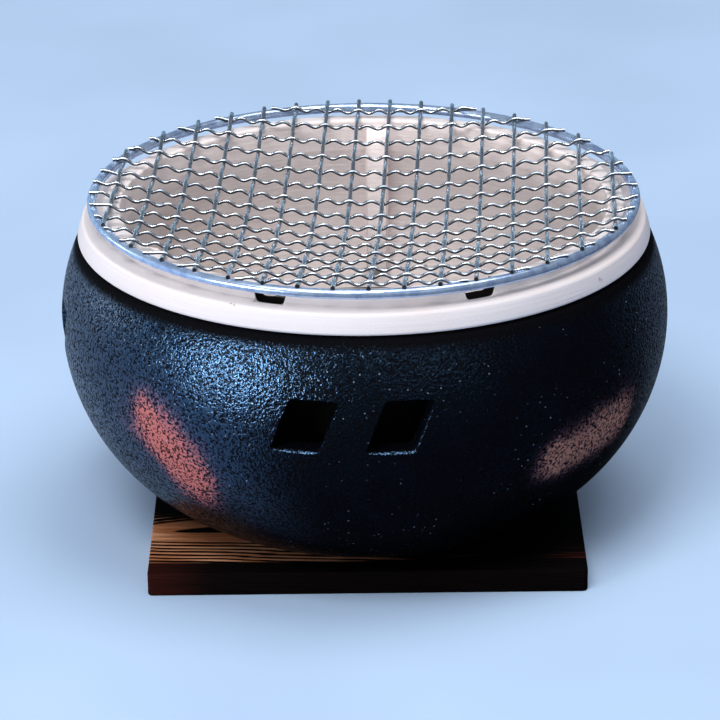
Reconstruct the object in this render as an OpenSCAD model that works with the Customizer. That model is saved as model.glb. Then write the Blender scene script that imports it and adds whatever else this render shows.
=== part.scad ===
// Table charcoal brazier: a round glazed pot on a scorched board, with a collared
// fire bowl in its mouth, an iron charcoal grate in the bowl and a dished woven net on top.
// Millimetres. Z = 0 is the underside of the board, the front faces -Y.

/* [Net] */
// Diameter over the rim rod
net_d = 220; // [190:1:260]
// Diameter of the rim rod
rim_rod_d = 3.9; // [3:0.1:5]
// Diameter of the straight wires, which run front to back
straight_wire_d = 1.7; // [1.3:0.05:2]
// Diameter of the crimped wires, which run left to right
crimped_wire_d = 1.45; // [1.2:0.05:1.8]
// Spacing of the wires in both directions
wire_pitch = 13.25; // [11.5:0.05:16]
// How far the middle of the mesh hangs below its edge
dish_depth = 15; // [6:0.5:18]
// Shape of the dish: 1 is a cone, 2 a bowl
dish_power = 1.4; // [1.2:0.05:2]
// Rise and fall of a crimped wire from its middle line
crimp_swing = 0.8; // [0.7:0.02:1.2]
// Number of half waves of a crimped wire in one cell, an odd number
half_waves = 3; // [1:2:3]
// How far a wire end passes the middle of the rim rod
wire_overhang = 1; // [0.4:0.1:1.6]
// How far the weld sinks a wire into the rim rod
weld_sink = 0.15; // [0.1:0.05:0.3]
// Turn of the net seen from above
net_turn = -2.8; // [-20:0.1:20]

/* [Fire bowl] */
// Wall thickness
bowl_wall = 8; // [6:0.5:10]
// Width of the raised lip that carries the net
lip_w = 7; // [5:0.5:9]
// Height of the raised lip above the collar
lip_h = 4.9; // [4:0.1:7]
// Thickness of the collar
collar_t = 8.2; // [6:0.2:12]
// How far the collar reaches past the middle of the pot's rim
collar_reach = 3; // [1:0.5:6]
// How far the collar's side leans in
collar_lean = 1.7; // [0.5:0.1:3]
// Depth from the top of the lip to the grate's ledge
bowl_depth = 78; // [66:1:84]
// Depth of the upright part of the bowl's wall
bowl_upright = 23; // [15:1:30]
// Thickness of the ledge under the grate
ledge_t = 8; // [6:0.5:12]
// Width of the ledge
ledge_w = 6; // [4:0.5:10]
// Number of upright ribs on the inside
ribs = 3; // [2:1:6]
// Width of a rib
rib_w = 9; // [6:0.5:14]
// How far a rib stands out of the wall
rib_depth = 10; // [6:0.5:12]
// Place of the first rib, counted from the front towards the right
rib_turn = 176.3; // [0:0.1:360]
// Places of the draught notches in the lip, counted from the front
notch_turns = [-20, 24.5];
// Width of a notch at the top
notch_top_w = 13.5; // [10:0.5:18]
// Width of a notch at the bottom
notch_bottom_w = 10.4; // [8:0.1:13]
// Depth of a notch
notch_depth = 5.4; // [4.2:0.1:6]

/* [Charcoal grate] */
// Diameter of the grate
grate_d = 172; // [150:1:174]
// Thickness of the grate
grate_t = 6; // [4:0.5:10]
// Diameter of its draught holes
grate_hole_d = 9; // [6:0.5:11]
// Spacing of the rings of holes
grate_ring_pitch = 24; // [20:0.5:25]
// Number of rings of holes round the middle one
grate_rings = 3; // [1:1:3]

/* [Pot] */
// Height from the foot to the top of the rim
pot_h = 110.2; // [105:0.1:130]
// Height of the widest level above the foot
belly_h = 76.5; // [66:0.5:84]
// How far the belly swells out past the rim
belly_swell = 6.2; // [4:0.1:12]
// Wall thickness
pot_wall = 9; // [7:0.5:11]
// Thickness of the pot's floor
pot_floor = 12; // [8:0.5:16]
// Diameter of the foot
foot_d = 146; // [120:1:160]
// Width of the foot ring
foot_ring_w = 12; // [8:1:20]
// Height of the hollow inside the foot ring
foot_hollow_h = 2.5; // [1.5:0.5:4]
// Places of the four pairs of slanted windows, counted from the front, cut by hand
vent_pair_turns = [-2.5, 99.5, 184, 268.9];
// Angle between the two windows of a pair
vent_pair_angle = 17.2; // [14:0.1:24]
// Width of a window
vent_w = 18; // [12:0.5:20]
// Height of a window
vent_h = 20; // [14:0.5:24]
// How far the top of a window leans to the right of its bottom
vent_lean = 7.8; // [0:0.2:10]
// Height of the windows' middle above the foot
vent_level = 76.5; // [66:0.5:84]

/* [Board] */
// Side of the square board
board_side = 172; // [166:1:220]
// Thickness of the board
board_t = 9.5; // [8:0.5:16]
// Radius of its corners
board_corner_r = 2; // [1:0.5:6]

/* [Fits] */
// Gap all round between the bowl and the pot's mouth
bowl_play = 1.7; // [1:0.1:4]
// Gap all round between the grate and the bowl
grate_play = 0.6; // [0.4:0.1:1.5]
// Gap between the lip and the rim rod
net_play = 2.1; // [1:0.1:4]
// Gap under a piece that rests on a rounded edge
seat_gap = 0.3; // [0.25:0.05:0.4]
// Gap between crossing wires
wire_gap = 0.08; // [0.05:0.01:0.15]

/* [Hidden] */
cut_margin = 5;

// Net, in its own frame with the straight wires along Y
rod_r = rim_rod_d / 2;
straight_r = straight_wire_d / 2;
crimped_r = crimped_wire_d / 2;
rim_r = net_d / 2 - rod_r;
// Least distance from the outermost wire to the rim
edge_cell = 8;
side_wires = floor((rim_r - edge_cell) / wire_pitch + 0.5);
wires = 2 * side_wires;
crimp_step = wire_pitch / half_waves;
crimp_slope = atan(2 * crimp_swing / crimp_step);
straight_swing = (straight_r + crimped_r) / cos(crimp_slope) + wire_gap - crimp_swing;
// How far the woven wires reach below the middle layer of the mesh
mesh_hang = max(crimp_swing + crimped_r, straight_swing + straight_r);
// Wires that meet closer than this to the rim are not woven there
rim_keep = 2.5;
// Straight run of a crimped wire between its last crest and the rim
end_run = 2.6;
// Gap between the end of a crimped wire and a straight wire that lies in its way
end_gap = 2 * wire_gap;
// Flat sides of the wires
straight_sides = 4;
crimped_sides = 5;

// Radii, from the net outwards
lip_out_r = rim_r - rod_r - net_play;
lip_in_r = lip_out_r - lip_w;
bowl_r = lip_in_r + bowl_wall;
mouth_r = bowl_r + bowl_play;
rim_mid_r = mouth_r + pot_wall / 2;
collar_r = rim_mid_r + collar_reach;
pot_r = rim_mid_r + pot_wall / 2 + belly_swell;
grate_r = grate_d / 2;
ledge_r = grate_r + grate_play;
foot_r = foot_d / 2;

// Heights, from the board upwards
pot_z = board_t;
belly_z = pot_z + belly_h;
rim_mid_z = pot_z + pot_h - pot_wall / 2;
collar_z = pot_z + pot_h + seat_gap;
collar_top_z = collar_z + collar_t;
lip_z = collar_top_z + lip_h;
ledge_z = lip_z - bowl_depth;
bowl_bottom_z = ledge_z - ledge_t;
curve_z = lip_z - bowl_upright;
drop_at_lip = dish_depth * (1 - pow(lip_in_r / rim_r, dish_power));
net_z = lip_z + seat_gap + mesh_hang + drop_at_lip;
rim_z = net_z - rod_r - straight_r + weld_sink;

// Curves
function arc_radius(run, rise) = (run * run + rise * rise) / (2 * run);
belly_arc = arc_radius(pot_r - foot_r, belly_h);
shoulder_arc = arc_radius(belly_swell, rim_mid_z - belly_z) + pot_wall / 2;
bowl_arc = arc_radius(lip_in_r - ledge_r, curve_z - ledge_z);
arc_steps = 14;
edge_round = 1.5;
round_steps = 5;

// Drop from the lip to the top of a rib, and of the rib's top edge from the wall to its face
rib_top_gap = 4;
rib_top_drop = 3;
// Gap between the grate and the foot of a rib
rib_foot_gap = 4;

// How far a notch runs out over the collar
notch_run = 2.5;

function two_digits(n) = n < 10 ? str("0", n) : str(n);

// Points along an arc, from angle a0 to a1
function arc(cx, cz, r, a0, a1, steps) =
    [for (i = [0:steps]) let (a = a0 + (a1 - a0) * i / steps) [cx + r * cos(a), cz + r * sin(a)]];

// ---------- Board ----------

module rounded_square(side, r) {
    square([side, side - 2 * r], center = true);
    square([side - 2 * r, side], center = true);
    for (x = [-1, 1], y = [-1, 1])
        translate([x * (side / 2 - r), y * (side / 2 - r)]) circle(r, $fn = 32);
}

module board() {
    color("#2a1a12")
    linear_extrude(board_t) rounded_square(board_side, board_corner_r);
}

// ---------- Pot ----------

// Angle at which an arc of radius r has risen or dropped by dz from the level of its centre
function angle_at(dz, r) = asin(dz / r);

function pot_outline() =
    let (
        belly_x = pot_r - belly_arc,
        shoulder_x = pot_r - shoulder_arc,
        inner_belly = belly_arc - pot_wall,
        inner_shoulder = shoulder_arc - pot_wall,
        lean = angle_at(rim_mid_z - belly_z, shoulder_arc - pot_wall / 2),
        foot_a = angle_at(belly_h, belly_arc),
        floor_a = angle_at(belly_h - pot_floor, inner_belly)
    )
    concat(
        [[0, pot_z + foot_hollow_h], [foot_r - foot_ring_w, pot_z + foot_hollow_h], [foot_r - foot_ring_w, pot_z]],
        arc(belly_x, belly_z, belly_arc, -foot_a, 0, arc_steps),
        arc(shoulder_x, belly_z, shoulder_arc, lean / arc_steps, lean, arc_steps - 1),
        arc(rim_mid_r, rim_mid_z, pot_wall / 2, lean + 180 / round_steps / 2, lean + 180, 2 * round_steps),
        arc(shoulder_x, belly_z, inner_shoulder, lean - lean / arc_steps, 0, arc_steps - 1),
        arc(belly_x, belly_z, inner_belly, -floor_a / arc_steps, -floor_a, arc_steps - 1),
        [[0, pot_z + pot_floor]]
    );

// A window is a leaning four-sided hole, cut straight in from the outside
module vent_cut(turn) {
    rotate([0, 0, turn])
        translate([0, -(pot_r - pot_wall - cut_margin), pot_z + vent_level])
            rotate([90, 0, 0])
                linear_extrude(pot_wall + 2 * cut_margin)
                    polygon([
                        [-vent_w / 2 - vent_lean / 2, -vent_h / 2],
                        [vent_w / 2 - vent_lean / 2, -vent_h / 2],
                        [vent_w / 2 + vent_lean / 2, vent_h / 2],
                        [-vent_w / 2 + vent_lean / 2, vent_h / 2]
                    ]);
}

module pot() {
    color("#141a20")
    difference() {
        rotate_extrude($fn = 96) polygon(pot_outline());
        for (turn = vent_pair_turns, side = [-1, 1]) vent_cut(turn + side * vent_pair_angle / 2);
    }
}

// ---------- Fire bowl ----------

function bowl_outline() =
    let (
        arc_x = lip_in_r - bowl_arc,
        outer_arc = bowl_arc + bowl_wall,
        inner_a = angle_at(curve_z - ledge_z, bowl_arc),
        outer_a = angle_at(curve_z - bowl_bottom_z, outer_arc)
    )
    concat(
        [[ledge_r - ledge_w, bowl_bottom_z]],
        arc(arc_x, curve_z, outer_arc, -outer_a, 0, arc_steps),
        [[bowl_r, collar_z], [collar_r - edge_round, collar_z]],
        arc(collar_r - edge_round, collar_z + edge_round, edge_round, -60, 0, round_steps - 1),
        arc(collar_r - collar_lean - edge_round, collar_top_z - edge_round, edge_round, 0, 90, round_steps),
        [[lip_out_r, collar_top_z]],
        arc(lip_out_r - edge_round, lip_z - edge_round, edge_round, 0, 90, round_steps),
        arc(lip_in_r + edge_round, lip_z - edge_round, edge_round, 90, 180, round_steps),
        arc(arc_x, curve_z, bowl_arc, 0, -inner_a, arc_steps),
        [[ledge_r - ledge_w, ledge_z]]
    );

// Solid of revolution that ends in the middle of the bowl's wall, to trim the ribs
module wall_middle() {
    mid_arc = bowl_arc + bowl_wall / 2;
    mid_a = angle_at(curve_z - ledge_z, mid_arc);
    rotate_extrude($fn = 96) polygon(concat(
        [[0, ledge_z]],
        arc(lip_in_r - bowl_arc, curve_z, mid_arc, -mid_a, 0, arc_steps),
        [[lip_in_r + bowl_wall / 2, lip_z], [0, lip_z]]
    ));
}

// An upright rib that fades into the wall where the bowl draws in
module rib() {
    face_r = lip_in_r - rib_depth;
    top_z = lip_z - rib_top_gap;
    intersection() {
        rotate([90, 0, 90])
            translate([0, 0, -rib_w / 2])
                linear_extrude(rib_w)
                    polygon([
                        [-face_r, ledge_z + grate_t + rib_foot_gap],
                        [-face_r, top_z - rib_top_drop],
                        [-lip_in_r, top_z],
                        [-bowl_r, top_z],
                        [-bowl_r, ledge_z + grate_t + rib_foot_gap]
                    ]);
        wall_middle();
    }
}

// A draught notch through the lip, wider at the top
module notch_cut() {
    floor_z = lip_z - notch_depth;
    over = notch_top_w - notch_bottom_w;
    translate([0, -(lip_in_r - cut_margin), 0])
        rotate([90, 0, 0])
            linear_extrude(cut_margin + lip_w + notch_run)
                polygon([
                    [-notch_bottom_w / 2, floor_z],
                    [notch_bottom_w / 2, floor_z],
                    [notch_bottom_w / 2 + over, floor_z + 2 * notch_depth],
                    [-notch_bottom_w / 2 - over, floor_z + 2 * notch_depth]
                ]);
}

module fire_bowl() {
    color("#e9dfe2")
    difference() {
        union() {
            rotate_extrude($fn = 96) polygon(bowl_outline());
            for (k = [0:ribs - 1]) rotate([0, 0, rib_turn + 360 * k / ribs]) rib();
        }
        for (turn = notch_turns) rotate([0, 0, turn]) notch_cut();
    }
}

// ---------- Charcoal grate ----------

module charcoal_grate() {
    color("#26282a")
    translate([0, 0, ledge_z])
        difference() {
            cylinder(h = grate_t, r = grate_r, $fn = 96);
            draught_hole(0);
            for (ring = [1:grate_rings], k = [0:6 * ring - 1])
                rotate([0, 0, 60 * k / ring]) draught_hole(ring * grate_ring_pitch);
        }
}

module draught_hole(r) {
    translate([r, 0, -cut_margin]) cylinder(h = grate_t + 2 * cut_margin, d = grate_hole_d, $fn = 32);
}

// ---------- Net ----------

// Height of the mesh's middle layer at a place in the net
function dish_z(u, v) =
    let (r = min(norm([u, v]), rim_r)) net_z - dish_depth * (1 - pow(r / rim_r, dish_power));

// Half the length of the chord at a distance from the middle
function half_chord(offset) = sqrt(rim_r * rim_r - offset * offset);

// Distance of wire number k, from 1, from the middle
function wire_offset(k) = (k - 0.5 - side_wires) * wire_pitch;

// Whether two wires are woven where they meet, and not laid on the rim
function woven(u, v) = norm([u, v]) <= rim_r - rim_keep;

// End of a crimped wire, which stops short of a straight wire that is laid on the rim
function crimped_end(v, side) =
    let (
        full = half_chord(v) + wire_overhang,
        stops = [for (k = [1:wires]) let (u = abs(wire_offset(k)))
            if (wire_offset(k) * side > 0 && !woven(u, v) && u < rim_r
                && half_chord(u) + wire_overhang > abs(v) - crimped_wire_d)
                u - straight_r - end_gap]
    )
    min(concat([full], stops));

// A ring of points round a path that lies in an upright plane
function ring(s, z, slope, r, sides) =
    [for (i = [0:sides - 1]) let (a = 360 * (i + 0.5) / sides)
        [r * cos(a), s - r * sin(a) * sin(slope), z + r * sin(a) * cos(slope)]];

// A wire swept along path points [s, z], closed at both ends
module wire(path, r, sides) {
    last = len(path) - 1;
    points = [for (i = [0:last])
        let (
            before = path[max(i - 1, 0)],
            after = path[min(i + 1, last)],
            slope = atan2(after[1] - before[1], after[0] - before[0])
        )
        each ring(path[i][0], path[i][1], slope, r, sides)];
    skin = [for (i = [0:last - 1], j = [0:sides - 1])
        let (a = i * sides + j, b = i * sides + (j + 1) % sides)
        each [[a, a + sides, b], [b, a + sides, b + sides]]];
    start = [for (j = [1:sides - 2]) [0, j, j + 1]];
    finish = [for (j = [1:sides - 2]) let (o = last * sides) [o, o + j + 1, o + j]];
    polyhedron(points, concat(start, skin, finish));
}

// Straight wires run along Y and give way a little at each crossing
module straight_wire(k) {
    u = wire_offset(k);
    reach = half_chord(u);
    crossings = [for (row = [1:wires]) let (v = wire_offset(row))
        if (woven(u, v) && abs(v) < reach)
            [v, dish_z(u, v) - straight_swing * ((k + row) % 2 == 0 ? 1 : -1)]];
    path = concat(
        [[-reach - wire_overhang, net_z], [-reach, net_z]],
        crossings,
        [[reach, net_z], [reach + wire_overhang, net_z]]
    );
    color("#aeb6bd") rotate([0, 0, net_turn]) translate([u, 0, 0]) wire(path, straight_r, straight_sides);
}

// Crimped wires run along X, with a crest or a trough at each crossing and between
module crimped_wire(row) {
    v = wire_offset(row);
    low = -crimped_end(v, -1);
    high = crimped_end(v, 1);
    rest_z = net_z - straight_r + crimped_r;
    first = wire_offset(1);
    waves = [for (m = [-half_waves:half_waves * wires]) let (u = first + m * crimp_step)
        if (u > low + end_run + wire_overhang && u < high - end_run - wire_overhang)
            [u, dish_z(u, v) + crimp_swing * ((m + 1 + row) % 2 == 0 ? 1 : -1)]];
    path = concat([[low, rest_z], [low + wire_overhang, rest_z]], waves,
                  [[high - wire_overhang, rest_z], [high, rest_z]]);
    color("#a4adb5") rotate([0, 0, net_turn]) translate([0, v, 0]) rotate([0, 0, -90])
        wire(path, crimped_r, crimped_sides);
}

module net_rim() {
    color("#b9c1c8")
    translate([0, 0, rim_z])
        rotate_extrude($fn = 96) translate([rim_r, 0]) circle(rod_r, $fn = 32);
}

board();
pot();
fire_bowl();
charcoal_grate();
net_rim();
for (k = [1:wires]) {
    straight_wire(k);
    crimped_wire(k);
}
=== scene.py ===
"""Table charcoal brazier, dressed over its fixed frame.

A round glazed pot stands on a scorched board. A collared fire bowl hangs in the
pot's mouth, an iron grate lies in the bowl, and a dished woven net lies on top.
The sizes in the classes are millimetres; meshes are built in metres.
"""

import logging
import math
from dataclasses import dataclass
from enum import Enum
from typing import Callable, Sequence

import bpy
from mathutils import Matrix, Vector


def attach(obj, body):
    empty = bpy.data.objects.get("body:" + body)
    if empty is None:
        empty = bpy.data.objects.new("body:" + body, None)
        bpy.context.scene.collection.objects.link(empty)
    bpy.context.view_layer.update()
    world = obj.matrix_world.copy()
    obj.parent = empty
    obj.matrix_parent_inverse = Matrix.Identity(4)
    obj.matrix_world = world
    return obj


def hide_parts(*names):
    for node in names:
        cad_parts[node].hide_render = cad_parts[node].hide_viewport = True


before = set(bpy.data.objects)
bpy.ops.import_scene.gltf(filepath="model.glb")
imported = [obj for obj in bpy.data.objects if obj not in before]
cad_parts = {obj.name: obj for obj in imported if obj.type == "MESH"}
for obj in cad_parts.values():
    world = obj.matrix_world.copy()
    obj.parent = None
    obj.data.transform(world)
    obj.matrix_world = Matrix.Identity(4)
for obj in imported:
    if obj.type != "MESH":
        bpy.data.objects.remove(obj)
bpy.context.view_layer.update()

MM = 0.001
# height of the board's top, where the pot stands
BOARD_TOP = 9.5
# least angle in degrees between two faces whose edge is rounded
SHARP = 50.0
LOG = logging.getLogger("brazier")

Point2 = tuple[float, float]
Outline = Sequence[Point2]
Point3 = tuple[float, float, float]
Colour = tuple[float, float, float]
Piece = bpy.types.Object
Socket = bpy.types.NodeSocket


def arc(centre: Point2, radius: float, start: float, end: float, steps: int) -> list[Point2]:
    """Lists points along an arc of an outline.

    Args:
        centre: the arc's centre, as distance from the axis and height.
        radius: the arc's radius.
        start: first angle in degrees.
        end: last angle in degrees.
        steps: number of equal steps.

    Returns:
        The points, both ends included.
    """
    turns = [math.radians(start + (end - start) * i / steps) for i in range(steps + 1)]
    return [(centre[0] + radius * math.cos(a), centre[1] + radius * math.sin(a)) for a in turns]


def climb(rise: float, radius: float) -> float:
    """Angle in degrees through which an arc rises so far from its level end."""
    return math.degrees(math.asin(rise / radius))


def moved(outline: Outline, along: float, across: float = 0.0) -> list[Point2]:
    """Moves an outline's points by two distances."""
    return [(a + along, b + across) for a, b in outline]


def mirrored(outline: Outline) -> list[Point2]:
    """Mirrors an outline's points about its middle and lists them backwards."""
    return [(-a, b) for a, b in reversed(outline)]


def ease(t: float) -> float:
    """Goes from 0 to 1 with a level start and end."""
    return (1 - math.cos(math.pi * t)) / 2


def rounded(corners: Outline, radius: float) -> list[Point2]:
    """Rounds the corners of a convex outline.

    Args:
        corners: the outline's corners in order.
        radius: length that each rounding takes from its two sides.

    Returns:
        The outline's points.
    """
    points = []
    facets = 4
    spots = [Vector(corner) for corner in corners]
    for i, here in enumerate(spots):
        start = here + (spots[i - 1] - here).normalized() * radius
        end = here + (spots[(i + 1) % len(spots)] - here).normalized() * radius
        for j in range(facets + 1):
            t = j / facets
            bend = start * (1 - t) ** 2 + here * 2 * t * (1 - t) + end * t**2
            points.append((bend.x, bend.y))
    return points


class Deed(Enum):
    """What a tool does to the piece it meets."""

    CUT = "DIFFERENCE"
    ADD = "UNION"


class Bench:
    """Blender's modelling operators, used as by hand, with lengths in millimetres."""

    @staticmethod
    def mode(name: str) -> None:
        """Goes to "OBJECT" or "EDIT" mode."""
        bpy.ops.object.mode_set(mode=name)

    @staticmethod
    def clear() -> None:
        """Leaves edit mode and selects nothing."""
        if bpy.context.object and bpy.context.object.mode != "OBJECT":
            Bench.mode("OBJECT")
        bpy.ops.object.select_all(action="DESELECT")

    @staticmethod
    def hold(piece: Piece) -> None:
        """Makes a piece the only selected one and the active one."""
        Bench.clear()
        piece.select_set(True)
        bpy.context.view_layer.objects.active = piece

    @staticmethod
    def take_all() -> None:
        """Selects all of the open mesh."""
        bpy.ops.mesh.select_all(action="SELECT")

    @staticmethod
    def label(name: str) -> Piece:
        """Leaves edit mode and names the active piece and its mesh."""
        Bench.mode("OBJECT")
        piece = bpy.context.object
        piece.name = piece.data.name = name
        return piece

    @staticmethod
    def seal(name: str) -> Piece:
        """Turns all faces of the open mesh outwards and names the piece."""
        Bench.take_all()
        bpy.ops.mesh.normals_make_consistent(inside=False)
        return Bench.label(name)

    @staticmethod
    def pick(piece: Piece, kind: str, wanted: Callable[..., bool]) -> None:
        """Opens a piece in edit mode with the parts selected that pass a test.

        Args:
            piece: the mesh to select in.
            kind: "VERT" or "EDGE".
            wanted: test of a vertex or an edge.
        """
        Bench.hold(piece)
        Bench.mode("EDIT")
        bpy.ops.mesh.select_all(action="DESELECT")
        bpy.ops.mesh.select_mode(type=kind)
        Bench.mode("OBJECT")
        for part in piece.data.vertices if kind == "VERT" else piece.data.edges:
            part.select = wanted(part)
        Bench.mode("EDIT")

    @staticmethod
    def extrude(x: float, y: float, z: float) -> None:
        """Extrudes the selection along a step in millimetres."""
        step = (x * MM, y * MM, z * MM)
        bpy.ops.mesh.extrude_region_move(TRANSFORM_OT_translate={"value": step})

    @staticmethod
    def trace(outline: Outline) -> None:
        """Draws an outline in the XZ plane point by point, and leaves it open in edit mode."""
        Bench.clear()
        bpy.ops.mesh.primitive_plane_add(size=MM)
        Bench.mode("EDIT")
        bpy.ops.mesh.select_mode(type="VERT")
        Bench.take_all()
        bpy.ops.mesh.merge(type="CENTER")
        bpy.ops.transform.translate(value=(outline[0][0] * MM, 0, outline[0][1] * MM))
        for (x0, z0), (x1, z1) in zip(outline, outline[1:]):
            Bench.extrude(x1 - x0, 0, z1 - z0)

    @staticmethod
    def turn_up(name: str, outline: Outline, steps: int) -> Piece:
        """Turns an outline about Z, as on a potter's wheel.

        Args:
            name: the piece's name.
            outline: points as radius and height, from the axis round to the axis,
                or a closed loop whose last point equals its first.
            steps: number of segments round the axis.

        Returns:
            The closed mesh.
        """
        Bench.trace(outline)
        Bench.take_all()
        bpy.ops.mesh.spin(steps=steps, angle=math.tau, center=(0, 0, 0), axis=(0, 0, 1))
        Bench.take_all()
        bpy.ops.mesh.remove_doubles(threshold=0.002 * MM)
        bpy.ops.mesh.dissolve_degenerate(threshold=0.001 * MM)
        return Bench.seal(name)

    @staticmethod
    def slab(name: str, outline: Outline, depths: Outline) -> Piece:
        """Fills an outline in the XZ plane and draws it out along -Y in stages.

        Args:
            name: the piece's name.
            outline: points as X and height, not closed.
            depths: stages as distance along -Y and outward growth of the outline.

        Returns:
            The closed mesh.
        """
        Bench.trace(outline)
        Bench.take_all()
        bpy.ops.mesh.edge_face_add()
        xs, zs = zip(*outline)
        middle = Vector(((max(xs) + min(xs)) / 2, 0, (max(zs) + min(zs)) / 2)) * MM
        half_x, half_z = (max(xs) - min(xs)) / 2, (max(zs) - min(zs)) / 2
        bpy.ops.transform.translate(value=(0, -depths[0][0] * MM, 0))
        grown = 0.0
        for number, (depth, growth) in enumerate(depths):
            if number:
                Bench.extrude(0, depths[number - 1][0] - depth, 0)
            ratio = ((half_x + growth) / (half_x + grown), 1, (half_z + growth) / (half_z + grown))
            about = middle + Vector((0, -depth * MM, 0))
            bpy.ops.transform.resize(value=ratio, center_override=about)
            grown = growth
        return Bench.seal(name)

    @staticmethod
    def swing(piece: Piece, degrees: float) -> Piece:
        """Turns a piece's mesh about Z, counted from the front towards the right."""
        piece.rotation_euler = (0, 0, math.radians(degrees))
        Bench.hold(piece)
        bpy.ops.object.transform_apply(location=True, rotation=True, scale=True)
        return piece

    @staticmethod
    def copy(piece: Piece, name: str) -> Piece:
        """Copies a piece with its own mesh."""
        twin = piece.copy()
        twin.data = piece.data.copy()
        twin.name = twin.data.name = name
        bpy.context.scene.collection.objects.link(twin)
        return twin

    @staticmethod
    def join(pieces: Sequence[Piece], name: str) -> Piece:
        """Makes several pieces one object."""
        Bench.hold(pieces[0])
        for piece in pieces:
            piece.select_set(True)
        bpy.ops.object.join()
        pieces[0].name = name
        return pieces[0]

    @staticmethod
    def modify(piece: Piece, kind: str, **settings: object) -> None:
        """Applies a modifier to a piece.

        Args:
            piece: the piece.
            kind: the modifier's type.
            settings: the modifier's settings by name.
        """
        Bench.hold(piece)
        bpy.ops.object.modifier_add(type=kind)
        modifier = piece.modifiers[-1]
        for key, value in settings.items():
            setattr(modifier, key, value)
        bpy.ops.object.modifier_apply(modifier=modifier.name)

    @staticmethod
    def carve(piece: Piece, tool: Piece, deed: Deed = Deed.CUT) -> None:
        """Cuts a tool out of a piece, or adds it, and puts the tool away.

        Args:
            piece: the piece that stays.
            tool: a closed mesh.
            deed: what the tool does.
        """
        Bench.modify(piece, "BOOLEAN", operation=deed.value, solver="EXACT", object=tool)
        bpy.data.objects.remove(tool)

    @staticmethod
    def soften(piece: Piece, width: float, segments: int) -> None:
        """Rounds a piece's sharp edges.

        Args:
            piece: the mesh to round.
            width: width of the rounding.
            segments: number of facets across it.
        """
        limit = {"limit_method": "ANGLE", "angle_limit": math.radians(SHARP)}
        Bench.modify(piece, "BEVEL", width=width * MM, segments=segments, **limit)

    @staticmethod
    def smooth(piece: Piece, angle: float) -> None:
        """Shades a piece smooth, but keeps edges above an angle in degrees crisp."""
        Bench.hold(piece)
        bpy.ops.object.shade_smooth_by_angle(angle=math.radians(angle))


class Number:
    """One number in a material that varies over a surface, with Python's operators."""

    def __init__(self, recipe: "Recipe", socket: Socket) -> None:
        """Wraps an output socket of a recipe's node."""
        self.recipe = recipe
        self.socket = socket

    def _math(self, operation: str, *values: "Number | float") -> "Number":
        """Adds a Math node that works on the given values in order."""
        node = self.recipe.node("ShaderNodeMath", dict(enumerate(values)), operation=operation)
        return Number(self.recipe, node.outputs[0])

    def __add__(self, other: "Number | float") -> "Number":
        """self + other"""
        return self._math("ADD", self, other)

    def __radd__(self, other: float) -> "Number":
        """other + self"""
        return self._math("ADD", other, self)

    def __sub__(self, other: "Number | float") -> "Number":
        """self - other"""
        return self._math("SUBTRACT", self, other)

    def __rsub__(self, other: float) -> "Number":
        """other - self"""
        return self._math("SUBTRACT", other, self)

    def __mul__(self, other: "Number | float") -> "Number":
        """self * other"""
        return self._math("MULTIPLY", self, other)

    def __rmul__(self, other: float) -> "Number":
        """other * self"""
        return self._math("MULTIPLY", other, self)

    def sine(self) -> "Number":
        """Sine of a number in radians."""
        return self._math("SINE", self)

    def root(self) -> "Number":
        """Square root."""
        return self._math("SQRT", self)

    def least(self, other: "Number | float") -> "Number":
        """The smaller of two numbers."""
        return self._math("MINIMUM", self, other)

    def most(self, other: "Number | float") -> "Number":
        """The larger of two numbers."""
        return self._math("MAXIMUM", self, other)

    def between(self, low: float, high: float) -> "Number":
        """Goes smoothly from 0 at low to 1 at high; low may be the larger."""
        node = self.recipe.node(
            "ShaderNodeMapRange",
            {"Value": self, "From Min": low, "From Max": high, "To Min": 0.0, "To Max": 1.0},
            interpolation_type="SMOOTHSTEP",
        )
        return Number(self.recipe, node.outputs["Result"])


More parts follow.
